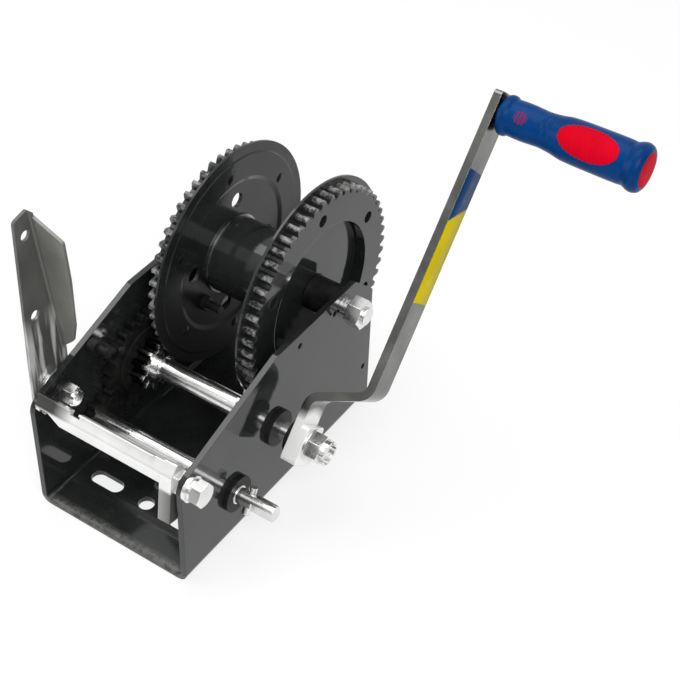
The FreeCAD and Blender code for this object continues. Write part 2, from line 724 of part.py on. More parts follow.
def side_prism(points, radii, x0, x1):
    """Prism along X over an outline given from the front edge and the underside."""
    placed = [(FRONT_Y + y, z) for y, z in points]
    wire = rounded_wire(placed, radii, lambda p: V(x0, p.x, p.y))
    return Part.Face(wire).extrude(V(x1 - x0, 0, 0))


def brace_strip(left):
    """Front flange, sloping web and raised lip of the brace."""
    run = math.hypot(BRACE_WEB_DEPTH, BRACE_WEB_RISE)
    along = (BRACE_WEB_DEPTH / run, BRACE_WEB_RISE / run)
    across = (along[1], -along[0])
    fold = (BRACE_FACE, BRACE_FOLD_Z)
    back = (BRACE_FACE + BRACE_WEB_DEPTH, BRACE_FOLD_Z + BRACE_WEB_RISE)
    inner = BRACE_SHEET * math.tan(math.atan2(along[0], along[1]) / 2)
    section = [
        (BRACE_FACE, BRACE_BOTTOM_Z),
        fold,
        back,
        (back[0] + across[0] * BRACE_SHEET, back[1] + across[1] * BRACE_SHEET),
        (fold[0] + BRACE_SHEET, fold[1] - inner),
        (BRACE_FACE + BRACE_SHEET, BRACE_BOTTOM_Z),
    ]
    strip = side_prism(section, BRACE_STRIP_ROUNDS, left, LEG_X - BRACE_SHEET)
    lip = [
        back,
        (back[0] - across[0] * BRACE_LIP, back[1] - across[1] * BRACE_LIP),
        (back[0] - across[0] * BRACE_LIP - along[0] * BRACE_LIP_THICK,
         back[1] - across[1] * BRACE_LIP - along[1] * BRACE_LIP_THICK),
        (back[0] - along[0] * BRACE_LIP_THICK, back[1] - along[1] * BRACE_LIP_THICK),
    ]
    lip_end = PLATE_IN - BRACE_STRIP_END - LEG_WIDTH
    strip = strip.fuse(side_prism(lip, BRACE_LIP_ROUNDS, left, lip_end))
    corner = Part.makePolygon([
        V(left - 1, 0, BRACE_BOTTOM_Z - 1),
        V(left + BRACE_STEP_END, 0, BRACE_BOTTOM_Z - 1),
        V(left + BRACE_STEP_START, 0, BRACE_FOLD_Z - 1),
        V(left - 1, 0, BRACE_FOLD_Z - 1),
        V(left - 1, 0, BRACE_BOTTOM_Z - 1),
    ])
    corner.translate(V(0, FRONT_Y - 1, 0))
    step = Part.Face(corner).extrude(V(0, BRACE_SHEET + BRACE_FACE + 1, 0))
    floor_y = back[0] - along[0] * BRACE_NOTCH_DEPTH
    floor_z = back[1] - along[1] * BRACE_NOTCH_DEPTH
    reach = BRACE_CUT_REACH
    notch = [
        (floor_y - across[0] * reach, floor_z - across[1] * reach),
        (back[0] + reach, back[1] + reach),
        (back[0] + reach + across[0] * reach, back[1] - reach),
        (floor_y + across[0] * reach, floor_z + across[1] * reach),
    ]
    gap = side_prism(notch, [0] * 4, left + BRACE_NOTCH_AT, left + BRACE_NOTCH_END)
    return strip.cut(step).cut(gap)


def brace_leg():
    """Leg at the right end: a front flange, and a side flange bolted to the plate."""
    def front(z):
        return LEG_FRONT - (BRACE_FOLD_Z + BRACE_WEB_RISE - z) * LEG_LEAN

    hood = (front(LEG_TOP_Z) + BRACE_WEB_DEPTH + LEG_HOOD_REACH,
            LEG_TOP_Z + BRACE_WEB_RISE + LEG_HOOD_RISE)
    bottom = (front(LEG_BOTTOM_Z), LEG_BOTTOM_Z)
    outline = [
        bottom,
        (front(LEG_TOP_Z), LEG_TOP_Z),
        hood,
        (hood[0] + LEG_HOOD_THICK, hood[1] - LEG_HOOD_THICK),
        (front(LEG_TOP_Z) + BRACE_SHEET, LEG_TOP_Z - LEG_INNER_DROP),
        (bottom[0] + BRACE_SHEET, LEG_BOTTOM_Z),
    ]
    flange = side_prism(outline, LEG_FRONT_ROUNDS, LEG_X - LEG_WIDTH, LEG_X)
    side = [
        bottom,
        (front(LEG_TOP_Z), LEG_TOP_Z),
        hood,
        (hood[0] + LEG_SHOULDER_REACH, hood[1] - LEG_SHOULDER_DROP),
        (front(BRACE_BOLT_Z) + LEG_DEPTH, BRACE_BOLT_Z),
        (bottom[0] + LEG_DEPTH - LEG_FOOT_TAPER, LEG_BOTTOM_Z - LEG_FOOT_TAPER),
    ]
    web = side_prism(side, LEG_SIDE_ROUNDS, LEG_X - BRACE_SHEET, LEG_X)
    ear = rod(LEG_X - BRACE_SHEET, LEG_X, BRACE_BOLT_Y, BRACE_BOLT_Z, LEG_EAR_R)
    return flange.fuse([web, ear])


def make_brace():
    left = -PLATE_IN + CLEARANCE
    tab_y = FRONT_Y + BRACE_FACE + BRACE_WEB_DEPTH
    tab = box(left, left + BRACE_SHEET, tab_y - 1, LEVER_Y,
              LEVER_PIVOT_Z - BRACE_TAB_HALF, LEVER_PIVOT_Z + BRACE_TAB_HALF)
    sleeve = rod(left, left + BRACE_SLEEVE, LEVER_Y, LEVER_PIVOT_Z, BRACE_SLEEVE_R)
    link = box(left, left + BRACE_SHEET, FRONT_Y + BRACE_FACE + BRACE_LINK_SET_BACK, tab_y,
               BRACE_FOLD_Z - BRACE_LINK_HEIGHT, BRACE_FOLD_Z)
    whole = brace_strip(left).fuse([brace_leg(), tab, sleeve, link])
    hole = rod(left - 1, left + BRACE_SLEEVE + 1, LEVER_Y, LEVER_PIVOT_Z, LEVER_BOLT_R)
    bolt_hole = rod(LEG_X - BRACE_SHEET - 1, LEG_X + 1, BRACE_BOLT_Y, BRACE_BOLT_Z, BOLT_R)
    return whole.cut(hole).cut(bolt_hole).removeSplitter()


def make_brace_bolt():
    inner = LEG_X - BRACE_SHEET - BOLT_PROUD
    outer = PLATE_OUT + WASHER + SPRING_WASHER
    shank = rod(inner, outer, BRACE_BOLT_Y, BRACE_BOLT_Z, BOLT_R)
    return shank.fuse(hexagon(outer, outer + BOLT_HEAD, BRACE_BOLT_Y, BRACE_BOLT_Z, BOLT_HEX_R))


def fold_frame():
    """Start, downward and backward directions and length of the lever's fold line."""
    top = V(0, FRONT_Y + LEVER_FOLD_TOP[0], LEVER_FOLD_TOP[1])
    bottom = V(0, FRONT_Y + LEVER_FOLD_BOTTOM[0], LEVER_FOLD_BOTTOM[1])
    down = bottom - top
    length = down.Length
    down.normalize()
    return top, down, V(0, -down.z, down.y), length


def lever_section(x0, x1):
    """Bent sheet of the lever, longer than the lever on both ends."""
    top, down, back, length = fold_frame()
    start = top - down * LEVER_TOP_Z
    wide = LEVER_TOP_Z
    points = [
        (x0, -wide),
        (x0, LEVER_SHEET),
        (x1 + WING_TOP_WIDTH + LEVER_SHEET, LEVER_SHEET),
        (x1 + WING_TOP_WIDTH + LEVER_SHEET, 0),
        (x1, 0),
        (x1, -wide),
    ]
    outer = LEVER_FOLD_R + LEVER_SHEET
    wire = rounded_wire(points, [0, outer, 0, 0, LEVER_FOLD_R, 0],
                        lambda p: start + AXIS_X * p.x + back * p.y)
    return Part.Face(wire).extrude(down * (length + 2 * LEVER_TOP_Z))


def lever_flat(x0, x1):
    """Prism over the flat strip of the lever."""
    fold_y, fold_z = LEVER_FOLD_BOTTOM
    points = [
        (LEVER_BOTTOM_FRONT - LEVER_BOTTOM_TAPER, LEVER_PIVOT_Z - LEVER_END_R),
        (LEVER_BOTTOM_FRONT, fold_z),
        (LEVER_TOP_FRONT, LEVER_TOP_Z),
        (LEVER_TOP_BACK - LEVER_PEAK_FROM_BACK, LEVER_TOP_Z + LEVER_PEAK_RISE),
        (LEVER_TOP_BACK, LEVER_TOP_Z - LEVER_BACK_DROP),
        (fold_y + LEVER_SHEET, fold_z),
        (fold_y + LEVER_SHEET, LEVER_PIVOT_Z - LEVER_END_R),
    ]
    return side_prism(points, LEVER_FLAT_ROUNDS, x0 - 1, x1 + LEVER_FOLD_R)


def lever_wing(x1):
    """Prism over the wing of the lever."""
    top, down, back, length = fold_frame()
    points = [
        (x1 - LEVER_SHEET - 1, -WING_OVERRUN),
        (x1 + LEVER_FOLD_R, -WING_OVERRUN),
        (x1 + WING_TOP_WIDTH, WING_TOP_DOWN),
        (x1 + WING_TOP_WIDTH - WING_TOP_TAPER, WING_TAPER_DOWN),
        (x1 + WING_MIDDLE_WIDTH, length - WING_MIDDLE_UP),
        (x1 + WING_BOTTOM_WIDTH, length - WING_BOTTOM_UP),
        (x1 - LEVER_SHEET - 1, length + WING_OVERRUN),
    ]
    start = top - back
    wire = rounded_wire(points, WING_ROUNDS, lambda p: start + AXIS_X * p.x + down * p.y)
    return Part.Face(wire).extrude(back * (LEVER_SHEET + 2))


def capsule(a, b, width, x0, x1):
    """Long round-ended cutter along X between two points of the side view."""
    ay, az = FRONT_Y + a[0], a[1]
    by, bz = FRONT_Y + b[0], b[1]
    span = math.hypot(by - ay, bz - az)
    side_y = -(bz - az) / span * width / 2
    side_z = (by - ay) / span * width / 2
    corners = [V(x0, ay + side_y, az + side_z), V(x0, by + side_y, bz + side_z),
               V(x0, by - side_y, bz - side_z), V(x0, ay - side_y, az - side_z)]
    corners.append(corners[0])
    middle = Part.Face(Part.makePolygon(corners)).extrude(V(x1 - x0, 0, 0))
    return middle.fuse([rod(x0, x1, ay, az, width / 2), rod(x0, x1, by, bz, width / 2)])


def make_lever():
    """Folded lever with two holes and a pressed groove above its bolt."""
    x1 = -PLATE_OUT - LEVER_GAP
    x0 = x1 - LEVER_SHEET
    lever = lever_section(x0, x1).common(lever_flat(x0, x1).fuse(lever_wing(x1)))
    cutters = [rod(x0 - 1, x1 + 1, LEVER_Y, LEVER_PIVOT_Z, LEVER_BOLT_R + RUNNING_FIT)]
    for y, z in LEVER_HOLES:
        cutters.append(rod(x0 - 1, x1 + 1, FRONT_Y + y, z, LEVER_HOLE_R))
    cutters.append(capsule(GROOVE_TOP, GROOVE_BOTTOM, GROOVE_WIDTH, x1 - GROOVE_DEPTH, x1 + 1))
    return lever.cut(cutters)


def make_lever_bolt():
    head_x = -PLATE_OUT - LEVER_GAP - LEVER_SHEET - CLEARANCE
    end = -PLATE_IN + CLEARANCE + BRACE_SLEEVE + LEVER_NUT + BOLT_PROUD
    shank = rod(head_x, end, LEVER_Y, LEVER_PIVOT_Z, LEVER_BOLT_R)
    head = hexagon(head_x, head_x + BOLT_HEAD, LEVER_Y, LEVER_PIVOT_Z, LEVER_HEX_R)
    return shank.fuse(head.mirror(V(head_x, 0, 0), AXIS_X))


def make_lever_nut():
    x0 = -PLATE_IN + CLEARANCE + BRACE_SLEEVE
    return nut(x0, x0 + LEVER_NUT, LEVER_Y, LEVER_PIVOT_Z, LEVER_HEX_R, LEVER_BOLT_R)


def make_stud():
    x1 = -PLATE_IN + PAWL_STUD_LENGTH
    head_r = PAWL_STUD_R + PAWL_STUD_HEAD_PROUD
    shank = rod(-PLATE_OUT, x1, PAWL_Y, PAWL_STUD_Z, PAWL_STUD_R)
    return shank.fuse(rod(x1 - PAWL_STUD_HEAD, x1, PAWL_Y, PAWL_STUD_Z, head_r))


def make_pawl():
    """Pawl whose tip drops into the teeth of the middle gear."""
    x0 = MIDDLE_GEAR_X + (MIDDLE_GEAR_THICK - PAWL_THICK) / 2
    tip_r = MODULE * MIDDLE_TEETH / 2 + ADDENDUM + PAWL_TIP_GAP
    towards = math.atan2(DRIVE_Z - PAWL_STUD_Z, DRIVE_Y - PAWL_Y)
    span = math.hypot(DRIVE_Z - PAWL_STUD_Z, DRIVE_Y - PAWL_Y) - tip_r
    across = V(0, -math.sin(towards), math.cos(towards))
    along = V(0, math.cos(towards), math.sin(towards))
    centre = V(x0, PAWL_Y, PAWL_STUD_Z)
    corners = [
        centre + across * PAWL_HUB_R,
        centre + along * span + across * PAWL_TIP / 2,
        centre + along * span - across * PAWL_TIP / 2,
        centre - across * PAWL_HUB_R,
    ]
    corners.append(corners[0])
    arm = Part.Face(Part.makePolygon(corners)).extrude(V(PAWL_THICK, 0, 0))
    hub = rod(x0, x0 + PAWL_THICK, PAWL_Y, PAWL_STUD_Z, PAWL_HUB_R)
    hole = rod(x0 - 1, x0 + PAWL_THICK + 1, PAWL_Y, PAWL_STUD_Z, PAWL_STUD_R + RUNNING_FIT)
    return arm.fuse(hub).cut(hole).removeSplitter()


def nut(x0, x1, y, z, corner_r, bore):
    return hexagon(x0, x1, y, z, corner_r).cut(rod(x0 - 1, x1 + 1, y, z, bore))


def build():
    parts = {}
    parts["frame"] = make_frame()

    spacer_end = PLATE_OUT + AXLE_NUT_SPACER
    parts["drum_axle"] = make_axle()
    parts["axle_nut_spacer"] = ring(PLATE_OUT, spacer_end, DRUM_Y, DRUM_Z,
                                    AXLE_NUT_SPACER_R, AXLE_R)
    parts["axle_nut"] = nut(spacer_end, spacer_end + AXLE_NUT, DRUM_Y, DRUM_Z,
                            AXLE_HEX_R, AXLE_R)
    left_end = HUB_LEFT_X - FLANGE_THICK - CLEARANCE
    right_end = HUB_RIGHT_X + FLANGE_THICK + CLEARANCE
    parts["left_axle_sleeve"] = ring(-PLATE_IN, left_end, DRUM_Y, DRUM_Z, AXLE_SLEEVE_R, AXLE_R)
    parts["right_axle_sleeve"] = ring(right_end, PLATE_IN, DRUM_Y, DRUM_Z, AXLE_SLEEVE_R, AXLE_R)

    parts["left_flange"] = flange(LEFT_INNER_X, -1)
    parts["right_flange"] = flange(RIGHT_INNER_X, 1)
    parts["left_drum_gear"] = drum_gear(LEFT_INNER_X, -1)
    parts["right_drum_gear"] = drum_gear(RIGHT_INNER_X, 1)
    parts["drum_hub"] = make_hub()
    parts["drum_bushing"] = drum_bushing()
    parts["hub_collar"] = ring(HUB_LEFT_X, HUB_LEFT_X + HUB_COLLAR_LENGTH, DRUM_Y, DRUM_Z,
                               HUB_COLLAR_R, HUB_R)
    parts["left_rivets"] = rivets(LEFT_INNER_X, -1)
    parts["right_rivets"] = rivets(RIGHT_INNER_X, 1)
    y, z = clamp_place()
    parts["rope_clamp_bolt"] = rod(HUB_LEFT_X, HUB_LEFT_X + CLAMP_LENGTH, y, z, CLAMP_BOLT_R).fuse(
        hexagon(HUB_LEFT_X, HUB_LEFT_X + CLAMP_HEAD, y, z, CLAMP_HEAD_R))

    for name, y, z, shaft_r in (("drive", DRIVE_Y, DRIVE_Z, DRIVE_R), ("low", LOW_Y, LOW_Z, LOW_R)):
        parts["left_%s_bushing" % name] = bushing(-PLATE_OUT, -1, y, z, shaft_r)
        parts["right_%s_bushing" % name] = bushing(PLATE_OUT, 1, y, z, shaft_r)

    parts["drive_shaft"] = make_drive_shaft()
    teeth_end = LEFT_PINION_X + LEFT_PINION_TEETH_WIDTH
    shoulder_end = teeth_end + LEFT_SHOULDER
    left_teeth = gear(PINION_TEETH, TOWARDS_DRIVE, DRIVE_Y, DRIVE_Z, LEFT_PINION_X,
                      teeth_end, DRIVE_R)
    shoulder = ring(teeth_end, shoulder_end, DRIVE_Y, DRIVE_Z, LEFT_SHOULDER_R, DRIVE_R)
    parts["left_pinion"] = left_teeth.fuse(shoulder)
    parts["drive_tube"] = ring(shoulder_end, RIGHT_PINION_X, DRIVE_Y, DRIVE_Z, TUBE_R, DRIVE_R)
    parts["right_pinion"] = gear(PINION_TEETH, TOWARDS_DRIVE, DRIVE_Y, DRIVE_Z, RIGHT_PINION_X,
                                 RIGHT_PINION_X + PINION_WIDTH, DRIVE_R)
    gear_end = MIDDLE_GEAR_X + MIDDLE_GEAR_THICK
    parts["middle_gear"] = gear(MIDDLE_TEETH, TOWARDS_LOW, DRIVE_Y, DRIVE_Z, MIDDLE_GEAR_X,
                                gear_end, DRIVE_R)
    parts["gear_disc"] = ring(gear_end, LEFT_PINION_X, DRIVE_Y, DRIVE_Z, DISC_R, DRIVE_R)

    parts["low_shaft"] = make_low_shaft()
    parts["low_pinion"] = gear(PINION_TEETH, TOWARDS_LOW, LOW_Y, LOW_Z, MIDDLE_GEAR_X,
                               gear_end, LOW_R)
    parts["low_pin"] = make_low_pin()

    washer_x = CRANK_INNER_X + CRANK_HUB_THICK
    parts["crank_arm"] = make_crank()
    parts["crank_washer"] = ring(washer_x, washer_x + CRANK_WASHER, DRIVE_Y, DRIVE_Z,
                                 CRANK_WASHER_R, DRIVE_R)
    parts["crank_nut"] = castle_nut(washer_x + CRANK_WASHER, DRIVE_Y, DRIVE_Z)
    parts["crank_disc"] = ring(CRANK_INNER_X - HUB_DISC, CRANK_INNER_X, DRIVE_Y, DRIVE_Z,
                               HUB_DISC_R, DRIVE_R)
    parts["grip_spindle"] = make_spindle()
    parts["grip"] = make_grip()
    parts["grip_cap"] = make_cap()

    parts["front_brace"] = make_brace()
    parts["brace_bolt"] = make_brace_bolt()
    parts["brace_bolt_washer"] = ring(PLATE_OUT, PLATE_OUT + WASHER, BRACE_BOLT_Y, BRACE_BOLT_Z,
                                      WASHER_R, BOLT_R)
    spring_x = PLATE_OUT + WASHER
    parts["brace_spring_washer"] = ring(spring_x, spring_x + SPRING_WASHER, BRACE_BOLT_Y,
                                        BRACE_BOLT_Z, SPRING_WASHER_R, BOLT_R)
    parts["brace_nut"] = nut(LEG_X, PLATE_IN, BRACE_BOLT_Y, BRACE_BOLT_Z, BOLT_HEX_R, BOLT_R)

    parts["brake_lever"] = make_lever()
    parts["lever_bolt"] = make_lever_bolt()
    parts["lever_washer"] = ring(-PLATE_OUT - LEVER_GAP + CLEARANCE, -PLATE_OUT, LEVER_Y,
                                 LEVER_PIVOT_Z, LEVER_WASHER_R, LEVER_BOLT_R)
    parts["lever_nut"] = make_lever_nut()
    parts["pawl_stud"] = make_stud()
    parts["pawl"] = make_pawl()
    return parts


def main():
    os.makedirs("parts", exist_ok=True)
    for name, shape in build().items():
        shape.exportStep("parts/%s.step" % name)
        print(name, len(shape.Solids), round(shape.Volume, 1), shape.isValid())


main()
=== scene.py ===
import json
import math

import bmesh
import bpy
from mathutils import Matrix, Vector


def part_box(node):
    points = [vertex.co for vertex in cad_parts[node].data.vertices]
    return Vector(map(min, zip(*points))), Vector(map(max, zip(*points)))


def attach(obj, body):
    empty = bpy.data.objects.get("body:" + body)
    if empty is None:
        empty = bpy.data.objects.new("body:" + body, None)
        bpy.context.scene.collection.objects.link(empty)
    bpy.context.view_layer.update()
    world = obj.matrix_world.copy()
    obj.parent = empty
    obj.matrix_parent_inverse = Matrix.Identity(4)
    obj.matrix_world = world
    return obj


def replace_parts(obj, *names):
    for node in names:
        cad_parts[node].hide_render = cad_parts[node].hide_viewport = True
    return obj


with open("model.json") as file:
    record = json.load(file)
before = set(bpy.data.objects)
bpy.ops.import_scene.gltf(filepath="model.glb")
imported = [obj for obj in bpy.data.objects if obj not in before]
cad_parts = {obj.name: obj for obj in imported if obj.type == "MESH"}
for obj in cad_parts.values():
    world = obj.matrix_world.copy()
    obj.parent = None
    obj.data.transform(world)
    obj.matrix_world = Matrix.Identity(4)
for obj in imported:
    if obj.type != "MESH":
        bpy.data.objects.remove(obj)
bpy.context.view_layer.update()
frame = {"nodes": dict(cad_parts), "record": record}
NODES = frame["nodes"]


# Node helpers

EDGE_SOFTNESS = 0.0006


def add_node(tree, kind, inputs=None, **settings):
    """New node, whose inputs are given as values or as sockets to link from."""
    made = tree.nodes.new(kind)
    for name, value in settings.items():
        setattr(made, name, value)
    for name, value in (inputs or {}).items():
        if isinstance(value, bpy.types.NodeSocket):
            tree.links.new(value, made.inputs[name])
        else:
            made.inputs[name].default_value = value
    return made


class Graph:
    """Builds one node material."""

    def __init__(self, name):
        self.material = bpy.data.materials.new(name)
        self.material.use_nodes = True
        self.tree = self.material.node_tree
        self.shader = self.tree.nodes["Principled BSDF"]
        self.output = self.tree.nodes["Material Output"]
        coordinates = self.tree.nodes.new("ShaderNodeTexCoord")
        self.place = coordinates.outputs["Object"]

    def set(self, **values):
        for name, value in values.items():
            socket = self.shader.inputs[name.replace("_", " ")]
            socket.default_value = (*value, 1.0) if isinstance(value, tuple) else value

    def node(self, kind, inputs=None, **settings):
        return add_node(self.tree, kind, inputs, **settings)

    def link(self, source, socket):
        self.tree.links.new(source, self.shader.inputs[socket])

    def noise(self, scale, detail=3.0, roughness=0.55, place=None):
        made = self.node("ShaderNodeTexNoise", {"Vector": place or self.place})
        made.inputs["Scale"].default_value = scale
        made.inputs["Detail"].default_value = detail
        made.inputs["Roughness"].default_value = roughness
        return made.outputs["Fac"]

    def ramp(self, value, *stops):
        made = self.node("ShaderNodeValToRGB", {"Fac": value})
        band = made.color_ramp
        while len(band.elements) < len(stops):
            band.elements.new(0.5)
        for element, (at, colour) in zip(band.elements, stops):
            element.position = at
            if isinstance(colour, (int, float)):
                colour = (colour, colour, colour)
            element.color = (*colour, 1.0)
        return made.outputs["Color"]

    def mix(self, factor, a, b):
        made = self.node("ShaderNodeMix", data_type="RGBA")
        sockets = {"Factor": factor, "A": a, "B": b}
        for name, value in sockets.items():
            socket = next(s for s in made.inputs if s.name == name and s.enabled)
            if isinstance(value, bpy.types.NodeSocket):
                self.tree.links.new(value, socket)
            elif isinstance(value, tuple):
                socket.default_value = (*value, 1.0)
            else:
                socket.default_value = value
        return next(s for s in made.outputs if s.enabled)

    def bump(self, *layers):
        """Each layer is (height socket, strength, distance in metres)."""
        soft = self.node("ShaderNodeBevel", {"Radius": EDGE_SOFTNESS}, samples=4)
        normal = soft.outputs["Normal"]
        for height, strength, distance in layers:
            made = self.node("ShaderNodeBump", {"Height": height})
            made.inputs["Strength"].default_value = strength
            made.inputs["Distance"].default_value = distance
            self.tree.links.new(normal, made.inputs["Normal"])
            normal = made.outputs["Normal"]
        self.link(normal, "Normal")

    def near(self, axis, start, end):
        """0 to 1 while a coordinate, in metres, goes from start to end."""
        parts = self.node("ShaderNodeSeparateXYZ", {"Vector": self.place})
        made = self.node("ShaderNodeMapRange", {"Value": parts.outputs[axis], "From Min": start,
                                                "From Max": end})
        return made.outputs["Result"]

    def round_axis(self, y, z, start, end):
        """0 to 1 while the distance from an axis along X goes from start to end."""
        parts = self.node("ShaderNodeSeparateXYZ", {"Vector": self.place})
        flat = self.node("ShaderNodeCombineXYZ", {"Y": parts.outputs["Y"],
                                                  "Z": parts.outputs["Z"]})
        away = self.node("ShaderNodeVectorMath", {0: flat.outputs["Vector"], 1: (0.0, y, z)},
                         operation="DISTANCE")
        made = self.node("ShaderNodeMapRange", {"Value": away.outputs["Value"],
                                                "From Min": start, "From Max": end})
        return made.outputs["Result"]

    def both(self, a, b):
        return self.node("ShaderNodeMath", {0: a, 1: b}, operation="MULTIPLY").outputs[0]

    def clouds(self, value, dark, light):
        """Soft patches of two colours after a noise value."""
        return self.mix(self.ramp(value, (0.35, 0.0), (0.7, 1.0)), dark, light)

    def grainy(self, cloud, fine, low, high):
        """Roughness between two values after a coarse and a fine noise value."""
        both = self.mix(0.5, cloud, fine)
        self.link(self.ramp(both, (0.35, low), (0.65, high)), "Roughness")

    def plated(self, fine):
        """Fine grain over slight waves, as on plated steel."""
        self.bump((fine, 0.08, 0.0003), (self.noise(70.0, 2.0), 0.1, 0.0006))


EDGE_WEAR_DEPTH = (0.0075, 0.003)
EDGE_WEAR_HEIGHT = (0.006, 0.0045)
TIP_FADE = 0.0015


def black_paint(name, front=None, painted_shade=None, tips=None):
    """Glossy black paint, worn to grey on the base's front edge where front is given.

    Beyond the radius in tips, given with an axis, it turns lighter grey in speckles, as on gear
    teeth: partly rubbed paint, partly painted highlight.
    Between the two heights given for the shade it is painted darker and turns duller downwards:
    painted shade on the lower part.
    """
    g = Graph(name)
    g.set(Metallic=0.0, IOR=1.46)
    cloud = g.noise(26.0, 4.0)
    dust = g.ramp(g.noise(420.0, 6.0, 0.7), (0.60, 0.0), (0.78, 1.0))
    base = g.clouds(cloud, (0.012, 0.013, 0.013), (0.022, 0.024, 0.023))
    base = g.mix(dust, base, (0.045, 0.045, 0.042))
    rough = g.ramp(cloud, (0.3, 0.05), (0.75, 0.12))
    if front is not None:
        edge = g.both(g.near("Y", *(front + depth for depth in EDGE_WEAR_DEPTH)),
                      g.near("Z", *EDGE_WEAR_HEIGHT))
        speckle = g.ramp(g.noise(260.0, 6.0, 0.7), (0.36, 0.25), (0.62, 1.0))
        worn = g.both(edge, speckle)
        base = g.mix(worn, base, (0.10, 0.10, 0.092))
        rough = g.mix(worn, rough, (0.45, 0.45, 0.45))
    # Rubbed paint and painted highlight: lighter speckles beyond the tooth radius.
    if tips is not None:
        speckle = g.ramp(g.noise(240.0, 5.0, 0.7), (0.42, 0.0), (0.62, 1.0))
        axis_y, axis_z, radius = tips
        rubbed_and_highlit = g.both(g.round_axis(axis_y, axis_z, radius, radius + TIP_FADE), speckle)
        base = g.mix(rubbed_and_highlit, base, (0.26, 0.26, 0.25))
        rough = g.mix(rubbed_and_highlit, rough, (0.35, 0.35, 0.35))
    # Painted shade: darker and duller towards the bottom between the two heights.
    if painted_shade is not None:
        g.set(Specular_IOR_Level=0.3)
        lowest, highest = painted_shade
        low = g.near("Z", highest, lowest)
        base = g.mix(low, base, (0.0025, 0.0025, 0.0025))
        rough = g.mix(low, rough, (0.6, 0.6, 0.6))
    g.link(base, "Base Color")
    g.link(rough, "Roughness")
    g.bump((g.noise(330.0, 2.0, 0.4), 0.05, 0.0003), (g.noise(60.0, 2.0, 0.4), 0.06, 0.001))
    return g.material


def black_steel():
    g = Graph("black_steel")
    g.set(Metallic=0.0, IOR=1.4, Specular_IOR_Level=0.18)
    cloud = g.noise(90.0, 5.0)
    base = g.clouds(cloud, (0.006, 0.006, 0.006), (0.016, 0.016, 0.015))
    g.link(base, "Base Color")
    g.link(g.ramp(cloud, (0.3, 0.28), (0.75, 0.45)), "Roughness")
    g.bump((g.noise(900.0, 3.0), 0.14, 0.0003))
    return g.material


def zinc(name, dark, light, rough_low, rough_high, grain):
    g = Graph(name)
    g.set(Metallic=1.0)
    cloud = g.noise(38.0, 5.0)
    fine = g.noise(grain, 4.0, 0.6)
    base = g.clouds(cloud, dark, light)
    g.link(base, "Base Color")
    g.grainy(cloud, fine, rough_low, rough_high)
    g.plated(fine)
    return g.material


CRANK_BRIGHT = (0.0175, 0.024)


def crank_bar(axis_y, axis_z):
    """Dull plating on the crank's bar, bright round its hub."""
    g = Graph("crank_bar")
    cloud = g.noise(38.0, 5.0)
    fine = g.noise(500.0, 4.0, 0.6)
    dull = g.clouds(cloud, (0.11, 0.11, 0.104), (0.19, 0.19, 0.181))
    away = g.round_axis(axis_y, axis_z, *CRANK_BRIGHT)
    g.link(g.mix(away, (0.86, 0.86, 0.85), dull), "Base Color")
    g.link(g.ramp(away, (0.0, 0.25), (1.0, 1.0)), "Metallic")
    g.grainy(cloud, fine, 0.12, 0.28)
    g.plated(fine)
    return g.material


PINION_LIT_REACH = (0.0085, 0.0112)


def pinion_steel(left):
    """Plating of the left pinion: painted shade makes it dark near the gear disc, bright at its
    end.
    """
    g = Graph("pinion_steel")
    g.set(Metallic=1.0)
    fine = g.noise(700.0, 4.0, 0.6)
    lit_end = g.both(g.near("X", *(left + reach for reach in PINION_LIT_REACH)),
                   g.ramp(g.noise(160.0, 4.0), (0.3, 0.5), (0.6, 1.0)))
    # Painted shade near the gear disc, in patches, giving way to bright plating towards the end.
    g.link(g.mix(lit_end, (0.035, 0.035, 0.034), (0.84, 0.84, 0.83)), "Base Color")
    g.link(g.ramp(fine, (0.35, 0.14), (0.65, 0.3)), "Roughness")
    g.bump((fine, 0.08, 0.0003))
    return g.material


BRACE_DARK_END = (0.034, 0.018)
BRACE_WEB_HEIGHT = (0.0885, 0.0905)
BRACE_TAB_DEPTH = (0.0085, 0.0105)
BRACE_LEG_HEIGHT = (0.0815, 0.079)
BRACE_LEG_FROM = (0.030, 0.040)
BRACE_LEG_WIDTH = 0.009


def brace_plating(left, front, leg_x):
    """Bright plating, duller on the leg with painted shading across it, and a painted dark
    reflection on the left end of the web and on the tab behind it.
    """
    g = Graph("brace_plating")
    cloud = g.noise(38.0, 5.0)
    fine = g.noise(700.0, 4.0, 0.6)
    bright = g.clouds(cloud, (0.72, 0.72, 0.71), (0.88, 0.88, 0.87))
    end = g.near("X", *(left + reach for reach in BRACE_DARK_END))
    web_reflection = g.both(end, g.near("Z", *BRACE_WEB_HEIGHT))
    leg = g.both(g.near("Z", *BRACE_LEG_HEIGHT), g.near("X", *BRACE_LEG_FROM))
    tab_reflection = g.both(end, g.near("Y", *(front + depth for depth in BRACE_TAB_DEPTH)))
    # Painted reflection: the web's left end and the tab behind it are darkened as if mirroring the
    # black plate.
    base = g.mix(web_reflection, bright, (0.06, 0.06, 0.058))
    base = g.mix(tab_reflection, base, (0.03, 0.03, 0.029))
    # Painted shading across the leg, lighter at its left and darker at its right, as on a rounded
    # bar.
    across = g.near("X", leg_x - BRACE_LEG_WIDTH, leg_x)
    base = g.mix(leg, base, g.mix(across, (0.30, 0.30, 0.29), (0.12, 0.12, 0.115)))
    g.link(base, "Base Color")
    g.link(g.ramp(leg, (0.0, 0.55), (1.0, 0.4)), "Metallic")
    g.grainy(cloud, fine, 0.1, 0.22)
    g.plated(fine)
    return g.material


LEVER_SHEET = 0.0025
LEVER_FOLD = 0.003
LEVER_HIGHLIGHT_REACH = 0.002
LEVER_HIGHLIGHT_HEIGHT = (0.150, 0.128)


